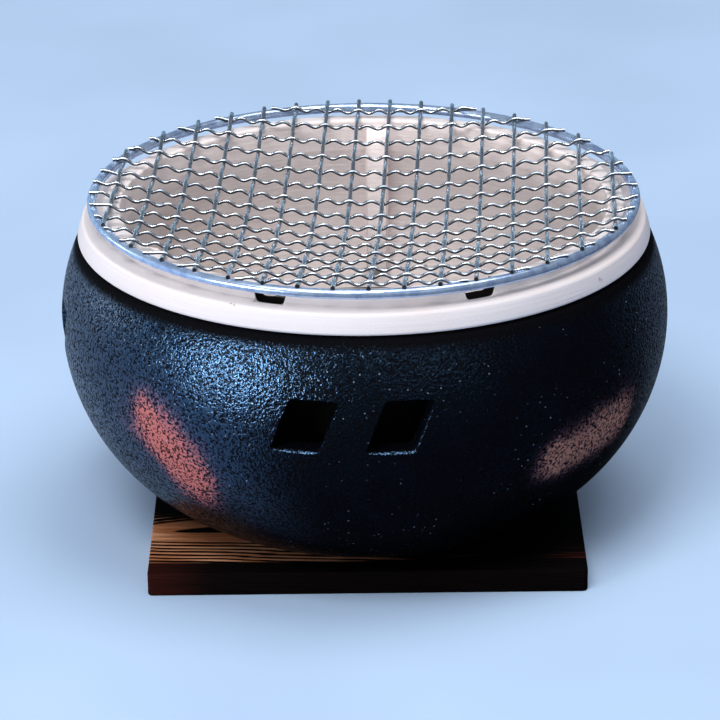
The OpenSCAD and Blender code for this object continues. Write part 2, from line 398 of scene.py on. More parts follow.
class Recipe:
    """A node material in the making."""

    def __init__(self, name: str, tree: bpy.types.NodeTree | None = None) -> None:
        """Starts an empty node material.

        Args:
            name: the material's name.
            tree: a world's node tree, to build that one instead.
        """
        if tree is None:
            self.material = bpy.data.materials.new(name)
            self.material.use_nodes = True
        self.tree = tree or self.material.node_tree
        self.tree.nodes.clear()
        coordinates = self.node("ShaderNodeTexCoord")
        self.place = coordinates.outputs["Object" if tree is None else "Generated"]
        self.facing = coordinates.outputs["Normal"]

    def node(
        self, kind: str, sockets: dict | None = None, **settings: object
    ) -> bpy.types.Node:
        """Adds a node.

        Args:
            kind: the node's type.
            sockets: values or links of its inputs, by name or number.
            settings: its settings by name, which are set first.

        Returns:
            The node.
        """
        node = self.tree.nodes.new(kind)
        for key, value in settings.items():
            setattr(node, key, value)
        for key, value in (sockets or {}).items():
            socket = node.inputs[key]
            if isinstance(value, Number):
                value = value.socket
            if isinstance(value, Socket):
                self.tree.links.new(value, socket)
            else:
                socket.default_value = (*value, 1) if socket.type == "RGBA" else value
        return node

    def stretched(self, *scale: float) -> Socket:
        """Object coordinates times a factor for each of X, Y and Z."""
        node = self.node("ShaderNodeMapping", {"Vector": self.place, "Scale": scale})
        return node.outputs["Vector"]

    def split(self, vector: Socket) -> list[Number]:
        """X, Y and Z of a vector."""
        node = self.node("ShaderNodeSeparateXYZ", {0: vector})
        return [Number(self, output) for output in node.outputs]

    def axes(self) -> list[Number]:
        """X, Y and Z of a place in millimetres."""
        return [part * (1 / MM) for part in self.split(self.place)]

    def upward(self) -> Number:
        """1 on a surface that faces up, 0 on an upright one, -1 on an underside."""
        return self.split(self.facing)[2]

    def ray(self, kind: str) -> Number:
        """1 for rays of one kind, by the light path's output, and 0 for others."""
        return Number(self, self.node("ShaderNodeLightPath").outputs[kind])

    def grain(self, size: float, detail: float, where: Socket | None = None) -> Number:
        """Soft noise around 0.5.

        Args:
            size: size of its blotches in millimetres.
            detail: number of finer layers.
            where: coordinates other than the plain ones.

        Returns:
            The noise.
        """
        node = self.node(
            "ShaderNodeTexNoise",
            {"Vector": where or self.place, "Scale": 1 / (size * MM), "Detail": detail},
        )
        return Number(self, node.outputs[0])

    def dots(self, size: float) -> Number:
        """Distance to the nearest of many scattered points, in their own spacing."""
        node = self.node("ShaderNodeTexVoronoi", {"Vector": self.place, "Scale": 1 / (size * MM)})
        return Number(self, node.outputs["Distance"])

    def blend(self, mask: Number, low: Colour | Socket, high: Colour | Socket) -> Socket:
        """Mixes two colours.

        Args:
            mask: 0 for the first colour, 1 for the second.
            low: the first colour.
            high: the second colour.

        Returns:
            The mixed colour's socket.
        """
        node = self.node("ShaderNodeMix", {0: mask, 6: low, 7: high}, data_type="RGBA")
        return node.outputs[2]

    def near(self, start: Vector, end: Vector) -> Number:
        """Distance in millimetres from a straight line between two points.

        Args:
            start: one end of the line in millimetres.
            end: its other end.

        Returns:
            The distance.
        """
        along = (end - start) * MM

        def vector(operation: str, sockets: dict, result: str = "Vector") -> Socket:
            """Adds a Vector Math node and gives one of its outputs."""
            node = self.node("ShaderNodeVectorMath", sockets, operation=operation)
            return node.outputs[result]

        offset = vector("SUBTRACT", {0: self.place, 1: start * MM})
        dot = vector("DOT_PRODUCT", {0: offset, 1: along / along.length_squared}, "Value")
        share = Number(self, dot).most(0.0).least(1.0)
        foot = vector("SCALE", {0: along, "Scale": share})
        return Number(self, vector("DISTANCE", {0: offset, 1: foot}, "Value")) * (1 / MM)

    def bump(self, height: Number, depth: float) -> Socket:
        """Normal of a relief whose height of 0 to 1 stands for a depth in millimetres."""
        sockets = {"Strength": 1.0, "Distance": depth * MM, "Height": height}
        return self.node("ShaderNodeBump", sockets).outputs["Normal"]

    def finish(
        self, sockets: dict, mask: Number | None = None, under: dict | None = None
    ) -> bpy.types.Material:
        """Ends the material in one shader, or in two that a mask mixes.

        Args:
            sockets: values or links of the shader's inputs.
            mask: 0 for that shader, 1 for the one under it.
            under: inputs of the shader that shows where the mask is 1.

        Returns:
            The material.
        """
        surface = self.node("ShaderNodeBsdfPrincipled", sockets).outputs[0]
        if under is not None:
            bare = self.node("ShaderNodeBsdfPrincipled", under).outputs[0]
            mixed = self.node("ShaderNodeMixShader", {0: mask, 1: surface, 2: bare})
            surface = mixed.outputs[0]
        self.node("ShaderNodeOutputMaterial", {"Surface": surface})
        return self.material


@dataclass(frozen=True)
class FiredPatch:
    """A place where the flame turned the glaze red-brown."""

    start: Point3
    end: Point3
    reach: float
    cover: float
    core: Colour


@dataclass(frozen=True)
class BlackGlaze:
    """Iron-black pitted glaze with a blue sheen and red-brown fired patches."""

    body: Colour = (0.001, 0.002, 0.004)
    pool: Colour = (0.001, 0.001, 0.002)
    singed: Colour = (0.09, 0.03, 0.055)
    glint_tint: Colour = (0.34, 0.40, 0.52)
    sheen: Colour = (0.27, 0.55, 1.0)
    collar_shade_z: float = 115.5
    pit_size: float = 1.25
    grit_size: float = 0.7
    peel: float = 0.5
    ior: float = 1.75
    wobble: float = 16.0
    glint_gap: float = 3.0
    patches: tuple[FiredPatch, ...] = (
        FiredPatch((-82, -88, 75), (-68, -95, 53), 14.5, 0.34, (0.40, 0.085, 0.035)),
        FiredPatch((75, -91, 60), (99, -67, 67), 11.5, 0.27, (0.38, 0.135, 0.045)),
        FiredPatch((-84, 86, 80), (-68, 96, 62), 14.5, 0.34, (0.40, 0.085, 0.035)),
        FiredPatch((84, 86, 76), (68, 97, 62), 11.5, 0.27, (0.38, 0.135, 0.045)),
    )

    def make(self) -> bpy.types.Material:
        """Builds the material."""
        recipe = Recipe("pot_glaze_black")
        pits = recipe.grain(self.pit_size, 1)
        fine = recipe.grain(self.grit_size, 1)
        clouds = recipe.grain(30, 3)
        speckle = pits * 0.55 + fine * 0.45
        colour = recipe.blend(clouds.between(0.35, 0.65), self.pool, self.body)
        wobble = recipe.grain(20, 2) * self.wobble - self.wobble / 2
        worn = None
        for patch in self.patches:
            away = recipe.near(Vector(patch.start), Vector(patch.end)) + wobble
            ring = away.between(patch.reach + 9, patch.reach * 0.3)
            core = away.between(patch.reach * 1.5, 0)
            dusting = (speckle + core * patch.cover).between(0.58, 0.84) * core.between(0, 0.5)
            colour = recipe.blend(ring * (1.1 - speckle * 1.4), colour, self.singed)
            colour = recipe.blend(dusting, colour, patch.core)
            worn = core if worn is None else worn.most(core)
        # painted glints: scattered pale blue-grey specks in the base colour stand in for sparkle
        painted_glints = recipe.dots(self.glint_gap).between(0.12, 0.05) * clouds.between(0.42, 0.58)
        colour = recipe.blend(painted_glints * 0.8, colour, self.glint_tint)
        relief = recipe.bump(pits * 0.6 + fine * 0.4, self.peel)
        _, _, z = recipe.axes()
        # painted shade: a ragged matte black band round the rim just under the bowl's collar,
        # where the collar's shade falls
        mouth = (z + speckle * 5 - 2.5).between(self.collar_shade_z - 2.2, self.collar_shade_z + 1.6)
        pinholes = speckle.between(0.50, 0.44)
        return recipe.finish(
            {
                "Base Color": colour,
                "Roughness": 0.15 + fine * 0.12 + worn * 0.5,
                "IOR": self.ior,
                "Specular IOR Level": 0.85,
                "Specular Tint": self.sheen,
                "Normal": relief,
            },
            (pinholes * 0.9).most(mouth),
            {
                "Base Color": self.pool,
                "Roughness": 0.8,
                "Specular IOR Level": 0.05,
                "Normal": relief,
            },
        )


@dataclass(frozen=True)
class BowlSizes:
    """The fire bowl's sizes that both its shape and its finish follow."""

    collar_z: float = 120.0
    lip_z: float = 133.1
    lip_out: float = 104.0
    lip_in: float = 97.0
    wall: float = 8.0
    curve_z: float = 110.1
    bowl_arc: float = 150.63
    notch_turns: tuple[float, ...] = (-20.0, 24.5)
    notch_depth: float = 5.4


@dataclass(frozen=True)
class PaleClay(BowlSizes):
    """Unglazed pale clay, white outside and warmer inside."""

    outer: Colour = (0.565, 0.53, 0.545)
    warm: Colour = (0.56, 0.50, 0.50)
    inner: Colour = (0.93, 0.83, 0.82)
    shaded_inner: Colour = (0.60, 0.44, 0.35)
    shade_black: Colour = (0.003, 0.003, 0.003)
    scuff: Colour = (0.20, 0.15, 0.15)
    notch_half: float = 5.5
    notch_flare: float = 0.29
    inner_shade_share: float = 0.4
    mark_gap: float = 26.0
    relief: float = 0.25

    def make(self) -> bpy.types.Material:
        """Builds the material."""
        recipe = Recipe("bowl_clay_pale")
        x, y, z = recipe.axes()
        radius = (x * x + y * y).root()
        middle_arc = self.bowl_arc + self.wall / 2
        below = (self.curve_z - z).most(0)
        middle = (middle_arc**2 - below * below).root() + (self.lip_in - self.bowl_arc)
        inside = (middle - radius).between(self.wall / 2 - 1.5, self.wall / 2 + 0.5)
        clouds = recipe.grain(38, 3)
        rings = recipe.grain(1.0, 2, recipe.stretched(0.02, 0.02, 0.75))
        outer = recipe.blend(clouds.between(0.40, 0.68) * 0.5, self.outer, self.warm)
        # painted shade: brown blotches on the left of the inside, which faces away from the lamps,
        # growing towards the bottom
        left = (x * -1 - y * 0.3).between(-30, 85)
        brown = clouds.between(0.38, 0.62) * left * z.between(128, 95) * self.inner_shade_share
        inner = recipe.blend(brown, self.inner, self.shaded_inner)
        colour = recipe.blend(inside, outer, inner)
        # painted shade: the bowl's outside below its collar, seen only through the pot's windows,
        # is made black
        painted_shade = z.between(self.collar_z + 0.4, self.collar_z - 0.8) * (1 - inside)
        # painted shade: the floor and sides of the two front notches are made black as well
        notch_z = self.lip_z - self.notch_depth
        over = notch_z - 0.8
        lip = radius.between(self.lip_out + 0.1, self.lip_out - 0.3) * z.between(over, over + 0.4)
        front = (y * -1).between(0, 1)
        for turn in map(math.radians, self.notch_turns):
            across = x * math.cos(turn) + y * math.sin(turn)
            away = (across * across).root() - (z - notch_z) * self.notch_flare
            notch = away.between(self.notch_half + 0.1, self.notch_half - 0.1)
            painted_shade = painted_shade.most(notch * front * lip)
        marks = recipe.dots(self.mark_gap).between(0.075, 0.02)
        marks = marks * recipe.grain(1.6, 3).between(0.5, 0.6)
        colour = recipe.blend(marks, colour, self.scuff)
        grit = recipe.grain(0.8, 2)
        return recipe.finish(
            {
                "Base Color": colour,
                "Roughness": 0.72 + grit * 0.2,
                "Specular IOR Level": 0.3,
                "Normal": recipe.bump(rings * 0.7 + grit * 0.3, self.relief),
            },
            # the matte black shader under this mask is painted shade
            painted_shade,
            {"Base Color": self.shade_black, "Roughness": 0.9, "Specular IOR Level": 0.02},
        )


@dataclass(frozen=True)
class ScorchedWood:
    """Scorched board: pale arched grain at the front left, black elsewhere."""

    tan: Colour = (0.40, 0.20, 0.115)
    amber: Colour = (0.24, 0.085, 0.035)
    red: Colour = (0.045, 0.008, 0.005)
    char: Colour = (0.0018, 0.0010, 0.0010)
    tip_x: float = -72.0
    tip_y: float = -47.5
    spread: float = 0.17
    band_start: float = 1.2
    band_end: float = 9.0
    line_gap: float = 2.9
    drift: float = 7.0
    axis_slope: float = 0.07
    front_y: Point2 = (-77.0, -74.5)
    pale_slope: float = 2.2
    pale_reach: float = 157.0
    relief: float = 0.5

    def make(self) -> bpy.types.Material:
        """Builds the material."""
        recipe = Recipe("board_scorched")
        x, y, z = recipe.axes()
        drift = recipe.grain(34, 2, recipe.stretched(0.4, 1.0, 1.0)) * self.drift - self.drift / 2
        axis = (x - self.tip_x) * self.axis_slope
        across = y - self.tip_y - axis + drift + (z - BOARD_TOP) * 0.6
        along = (x - self.tip_x) * self.spread
        arch = (across * across + along * along).root() - along
        fibre = recipe.grain(1.0, 3, recipe.stretched(0.035, 1.2, 1.2))
        blotch = recipe.grain(15, 2, recipe.stretched(0.3, 1.0, 1.0))
        lines = (arch * (math.tau / self.line_gap)).sine() * 0.5 + 0.5
        upper = across.between(3, 9)
        fine = (lines + (fibre - 0.5) * 1.2 - upper * 0.42).between(0.35, 0.62)
        broad = arch.between(self.band_start, self.band_start + 1.2)
        edge = arch.between(self.band_end, self.band_end + 2)
        grain = broad * (1 - edge) + edge * fine
        front = y.between(*self.front_y)
        # the pale grain shows only in a ragged area at the front left; the rest of the board stays
        # char black
        ragged = blotch * 44 + fibre * 26 - 35 + self.pale_reach
        bare = (x + y * self.pale_slope + ragged).between(16, -18) * y.between(-10, -30) * front
        streak = (fibre + blotch * 0.5).between(0.80, 0.94) * y.between(-60, -72) * front
        colour = recipe.blend(streak * x.between(10, 45), self.char, self.red)
        rim = (1 - front) * x.between(-58, -86) * (fibre * 0.7)
        colour = recipe.blend(rim, colour, self.red)
        pale = recipe.blend((fibre + blotch - 0.5).between(0.3, 0.62), self.amber, self.tan)
        colour = recipe.blend(grain * bare, colour, pale)
        return recipe.finish(
            {
                "Base Color": colour,
                "Roughness": 0.66 + fibre * 0.25,
                "Specular IOR Level": 0.03,
                "Normal": recipe.bump(fine * 0.4 + fibre * 0.6, self.relief),
            }
        )


@dataclass(frozen=True)
class SootyIron:
    """Cast iron under a sooty coat and a little ash."""

    iron: Colour = (0.022, 0.021, 0.022)
    ash: Colour = (0.12, 0.105, 0.095)

    def make(self) -> bpy.types.Material:
        """Builds the material."""
        recipe = Recipe("grate_iron_sooty")
        clouds = recipe.grain(14, 4)
        grit = recipe.grain(0.9, 3)
        colour = recipe.blend(clouds.between(0.55, 0.75) * 0.6, self.iron, self.ash)
        return recipe.finish(
            {
                "Base Color": colour,
                "Metallic": 0.35,
                "Roughness": 0.62 + grit * 0.25,
                "Normal": recipe.bump(grit, 0.3),
            }
        )


class Plating(Enum):
    """The two metal surfaces of the net."""

    ROD = "rim_steel_plated"
    WIRE = "wire_steel_galvanised"


@dataclass(frozen=True)
class NetSteel:
    """Zinc-plated steel, bright on the rod and greyer on the wires, with painted shade that makes
    the undersides darker and rougher, mostly on the wires.
    """

    surface: Plating
    metal: Colour
    dull: Colour
    roughness: float
    variation: float
    metallic: float
    shade_below_share: float
    shade_below: Colour = (0.02, 0.022, 0.026)

    def make(self) -> bpy.types.Material:
        """Builds the material."""
        recipe = Recipe(self.surface.value)
        clouds = recipe.grain(5, 3)
        fine = recipe.grain(0.6, 2)
        colour = recipe.blend(clouds.between(0.4, 0.68), self.metal, self.dull)
        # painted shade: the colour turns dark, and a little rougher, where the surface faces down
        under = (recipe.upward() + clouds * 0.3 - 0.15).between(0.38, -0.05) * self.shade_below_share
        return recipe.finish(
            {
                "Base Color": recipe.blend(under, colour, self.shade_below),
                "Metallic": self.metallic,
                "Roughness": self.roughness + clouds * self.variation + under * 0.15,
                "Normal": recipe.bump(fine, 0.05),
            }
        )


def settle(
    piece: Piece, finish: bpy.types.Material, body: str, node: str
) -> None:
    """Gives a piece its finish, sets it in the frame and reports it.

    Args:
        piece: the finished mesh.
        finish: its material.
        body: the body that it moves with.
        node: the CAD node that it stands for.
    """
    piece.data.materials.append(finish)
    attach(piece, body)
    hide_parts(node)
    LOG.info("%s: %d faces, for %s", piece.name, len(piece.data.polygons), node)


class Part:
    """A piece that is modelled alone and stands for one CAD node."""

    finish: type
    body: str
    slot: str
    node: str
    crisp: float = 40.0

    def build(self) -> Piece:
        """Models the piece."""
        raise NotImplementedError

    def dress(self) -> None:
        """Builds the piece, gives it its finish and sets it in the frame."""
        piece = self.build()
        Bench.smooth(piece, self.crisp)
        settle(piece, self.finish().make(), self.body, self.node)


ROD_STEEL = NetSteel(
    surface=Plating.ROD,
    metal=(0.52, 0.68, 0.95),
    dull=(0.33, 0.46, 0.74),
    roughness=0.17,
    variation=0.14,
    metallic=0.72,
    shade_below_share=0.1,
)
WIRE_STEEL = NetSteel(
    surface=Plating.WIRE,
    metal=(0.68, 0.76, 0.87),
    dull=(0.38, 0.46, 0.57),
    roughness=0.16,
    variation=0.2,
    metallic=0.92,
    shade_below_share=0.94,
)


@dataclass
class Board(Part):
    """The square scorched board under the pot."""

    side: float = 172.0
    thickness: float = BOARD_TOP
    corner_r: float = 2.0
    edge_r: float = 0.7
    finish: type = ScorchedWood
    body: str = "board"
    slot: str = "scorched_wood"
    node: str = "board"

    def build(self) -> Piece:
        """Models the board with rounded corners and softly worn edges."""
        Bench.clear()
        bpy.ops.mesh.primitive_cube_add(size=1)
        Bench.mode("EDIT")
        size = (self.side * MM, self.side * MM, self.thickness * MM)
        bpy.ops.transform.resize(value=size)
        bpy.ops.transform.translate(value=(0, 0, self.thickness / 2 * MM))
        board = Bench.label("board_scorched")

        def upright(edge: bpy.types.MeshEdge) -> bool:
            """Whether an edge runs from the underside to the top."""
            a, b = (board.data.vertices[i].co for i in edge.vertices)
            return abs(a.z - b.z) > self.thickness * MM / 2

        Bench.pick(board, "EDGE", upright)
        bpy.ops.mesh.bevel(offset=self.corner_r * MM, segments=5)
        Bench.mode("OBJECT")
        Bench.soften(board, self.edge_r, 3)
        return board


@dataclass
class Pot(Part):
    """The glazed pot with four pairs of slanted windows."""

    foot_z: float = BOARD_TOP
    foot_r: float = 73.0
    foot_ring: float = 12.0
    foot_hollow: float = 2.5
    foot_edge: float = 1.2
    foot_round: float = 1.0
    floor: float = 12.0
    wall: float = 9.0
    widest_r: float = 121.87
    belly_z: float = 86.0
    belly_arc: float = 84.28
    shoulder_arc: float = 76.36
    rim_r: float = 111.2
    rim_z: float = 115.2
    pair_turns: tuple[float, ...] = (-2.5, 99.5, 184.0, 268.9)
    pair_angle: float = 17.2
    window_w: float = 18.0
    window_h: float = 20.0
    window_lean: float = 7.8
    window_corner: float = 1.6
    window_bead: tuple[Point2, ...] = (
        (-2.9, 0.0),
        (-2.2, 0.08),
        (-1.6, 0.3),
        (-1.1, 0.65),
        (-0.7, 1.15),
        (6.0, 4.5),
    )
    segments: int = 200
    finish: type = BlackGlaze
    body: str = "pot"
    slot: str = "pot_glaze"
    node: str = "pot"
    crisp: float = 38.0

    def outline(self) -> list[Point2]:
        """Half section of the pot, from the axis under its foot to the axis on its floor.

        Each arc starts some way past the last one's end, which softens the joint.
        """
        lean = climb(self.rim_z - self.belly_z, self.shoulder_arc - self.wall / 2)
        foot_turn = climb(self.belly_z - self.foot_z, self.belly_arc)
        inner_arc = self.belly_arc - self.wall
        floor_turn = climb(self.belly_z - self.foot_z - self.floor, inner_arc)
        belly = (self.widest_r - self.belly_arc, self.belly_z)
        shoulder = (self.widest_r - self.shoulder_arc, self.belly_z)
        ring_r = self.foot_r - self.foot_ring
        hollow_z = self.foot_z + self.foot_hollow
        return [
            (0, hollow_z),
            (ring_r - self.foot_edge, hollow_z),
            (ring_r, self.foot_z + self.foot_round),
            (ring_r + self.foot_round, self.foot_z),
            (self.foot_r - self.foot_edge, self.foot_z),
            *arc(belly, self.belly_arc, -foot_turn + 0.6, 0, 34),
            *arc(shoulder, self.shoulder_arc, 1.2, lean, 16),
            *arc((self.rim_r, self.rim_z), self.wall / 2, lean + 10, lean + 180, 14),
            *arc(shoulder, self.shoulder_arc - self.wall, lean - 2, 0, 12),
            *arc(belly, inner_arc, -3, -floor_turn, 20),
            (0, self.foot_z + self.floor),
        ]

    def window_cutter(self, turn: float) -> Piece:
        """A leaning window's tool, flared where it meets the outside of the wall.

        Args:
            turn: the window's place in degrees.

        Returns:
            The tool, turned to its place.
        """
        low, high = self.belly_z - self.window_h / 2, self.belly_z + self.window_h / 2
        half, lean = self.window_w / 2, self.window_lean / 2
        corners = [
            (-half - lean, low),
            (half - lean, low),
            (half + lean, high),
            (-half + lean, high),
        ]
        inside = (self.widest_r - self.wall - 8, 0.0)
        depths = [inside, *moved(self.window_bead, self.widest_r)]
        tool = Bench.slab("window_tool", rounded(corners, self.window_corner), depths)
        return Bench.swing(tool, turn)

    def build(self) -> Piece:
        """Turns the pot up and cuts its windows."""
        pot = Bench.turn_up("pot_glazed", self.outline(), self.segments)
        for turn in self.pair_turns:
            for side in (-0.5, 0.5):
                Bench.carve(pot, self.window_cutter(turn + side * self.pair_angle))
        return pot


@dataclass(frozen=True)
class FireBowl(BowlSizes, Part):
    """The pale clay bowl with its collar, lip, ribs and draught notches."""

    collar_r: float = 114.2
    collar_top: float = 128.2
    collar_lean: float = 1.7
    edge_r: float = 1.5
    fillet: tuple[Point2, ...] = ((1.2, 0.05), (0.35, 0.35), (0.0, 1.2))
    ledge_z: float = 55.1
    ledge_t: float = 8.0
    ledge_edge: float = 0.8
    throat_r: float = 80.6
    rib_turns: tuple[float, ...] = (176.3, 296.3, 56.3)
    rib_w: float = 9.0
    rib_face: float = 87.0
    rib_top: float = 129.1
    rib_drop: float = 3.0
    rib_foot: float = 65.1
    rib_bend: float = 1.2
    rib_slope: float = 4.0
    rib_edge: tuple[Point2, ...] = ((0.0, -0.8), (0.3, -0.3), (0.9, 0.0))
    notch_top: float = 13.5
    notch_bottom: float = 10.4
    notch_foot: tuple[Point2, ...] = ((-1.2, 0.0), (-0.35, 0.3), (0.15, 1.0))
    notch_brim: tuple[Point2, ...] = ((-0.35, -1.0), (0.1, -0.3), (1.1, 0.1), (1.1, 4.0))
    inner_mouth: tuple[Point2, ...] = ((-5.0, 1.2), (-0.2, 0.7), (0.8, 0.0))
    outer_mouth: tuple[Point2, ...] = ((-0.8, 0.0), (0.1, 0.6), (2.5, 1.0))
    segments: int = 200
    finish: type = PaleClay
    body: str = "bowl"
    slot: str = "bowl_clay"
    node: str = "fire_bowl"

    def outline(self) -> list[Point2]:
        """Closed half section of the bowl."""
        centre = (self.lip_in - self.bowl_arc, self.curve_z)
        outer = self.bowl_arc + self.wall
        bottom_z = self.ledge_z - self.ledge_t
        inner_turn = climb(self.curve_z - self.ledge_z, self.bowl_arc)
        outer_turn = climb(self.curve_z - bottom_z, outer)
        edge, cut = self.edge_r, self.ledge_edge
        lean_r = self.collar_r - self.collar_lean
        points = [
            (self.throat_r + cut, bottom_z),
            *arc(centre, outer, -outer_turn, 0, 24),
            (self.lip_in + self.wall, self.collar_z),
            (self.collar_r - edge, self.collar_z),
            *arc((self.collar_r - edge, self.collar_z + edge), edge, -75, -5, 6),
            *arc((lean_r - edge, self.collar_top - edge), edge, 8, 90, 7),
            *moved(self.fillet, self.lip_out, self.collar_top),
            *arc((self.lip_out - edge, self.lip_z - edge), edge, 0, 90, 7),
            *arc((self.lip_in + edge, self.lip_z - edge), edge, 90, 180, 7),
            *arc(centre, self.bowl_arc, -0.6, -inner_turn, 24),
            (self.throat_r + cut, self.ledge_z),
            (self.throat_r, self.ledge_z - cut),
            (self.throat_r, bottom_z + cut),
        ]
        return [*points, points[0]]

    def rib(self, turn: float) -> Piece:
        """An upright rib whose back follows the middle of the wall.

        Args:
            turn: the rib's place in degrees.

        Returns:
            The rib.
        """
        middle_arc = self.bowl_arc + self.wall / 2
        centre = (self.lip_in - self.bowl_arc, self.curve_z)
        outline = [
            *arc(centre, middle_arc, -climb(self.curve_z - self.rib_foot, middle_arc), 0, 14),
            (self.lip_in + self.wall / 2, self.rib_top),
            (self.lip_in, self.rib_top),
            (self.rib_face + self.rib_bend, self.rib_top - self.rib_drop + 0.3),
            (self.rib_face, self.rib_top - self.rib_drop - self.rib_bend),
            (self.rib_face, self.rib_foot + self.rib_slope),
        ]
        near = moved(self.rib_edge, -self.rib_w / 2)
        return Bench.swing(Bench.slab("rib", outline, near + mirrored(near)), turn - 90)

    def notch_cutter(self, turn: float) -> Piece:
        """A draught notch's tool, flared at its upper edges and both mouths.

        Args:
            turn: the notch's place in degrees.

        Returns:
            The tool, turned to its place.
        """
        right = moved(self.notch_foot, self.notch_bottom / 2, self.lip_z - self.notch_depth)
        right += moved(self.notch_brim, self.notch_top / 2, self.lip_z)
        left = mirrored(right)
        depths = moved(self.inner_mouth, self.lip_in) + moved(self.outer_mouth, self.lip_out)
        tool = Bench.slab("notch_tool", [left[-1], *right, *left[:-1]], depths)
        return Bench.swing(tool, turn)

    def build(self) -> Piece:
        """Turns the bowl up, adds its ribs and cuts the notches."""
        bowl = Bench.turn_up("fire_bowl_clay", self.outline(), self.segments)
        for turn in self.rib_turns:
            Bench.carve(bowl, self.rib(turn), Deed.ADD)
        for turn in self.notch_turns:
            Bench.carve(bowl, self.notch_cutter(turn))
        return bowl


@dataclass
class CharcoalGrate(Part):
    """The round cast grate with rings of draught holes."""

    radius: float = 86.0
    low_z: float = FireBowl.ledge_z
    thickness: float = 6.0
    hole_d: float = 9.0
    ring_pitch: float = 24.0
    rings: int = 3
    edge_r: float = 0.6
    segments: int = 120
    hole_facets: int = 28
    finish: type = SootyIron
    body: str = "grate"
    slot: str = "grate_iron"
    node: str = "charcoal_grate"

    def hole_cutters(self) -> Piece:
        """All the holes' tools as one object."""
        Bench.clear()
        size = {"radius": self.hole_d / 2 * MM, "depth": self.thickness * 3 * MM}
        bpy.ops.mesh.primitive_cylinder_add(vertices=self.hole_facets, **size)
        first = bpy.context.object
        tools = [first]
        for ring in range(1, self.rings + 1):
            for k in range(6 * ring):
                turn = math.radians(60 * k / ring)
                twin = Bench.copy(first, "hole_tool")
                away = ring * self.ring_pitch * MM
                twin.location = (away * math.cos(turn), away * math.sin(turn), 0)
                tools.append(twin)
        cutters = Bench.join(tools, "hole_tools")
        Bench.mode("EDIT")
        Bench.take_all()
        middle = (self.low_z + self.thickness / 2) * MM
        bpy.ops.transform.translate(value=(0, 0, middle))
        Bench.mode("OBJECT")
        return cutters

    def build(self) -> Piece:
        """Models the disc, drills it and rounds its edges."""
        high = self.low_z + self.thickness
        outline = [(0, self.low_z), (self.radius, self.low_z), (self.radius, high), (0, high)]
        grate = Bench.turn_up("charcoal_grate_iron", outline, self.segments)
        Bench.carve(grate, self.hole_cutters())
        Bench.soften(grate, self.edge_r, 2)
        return grate


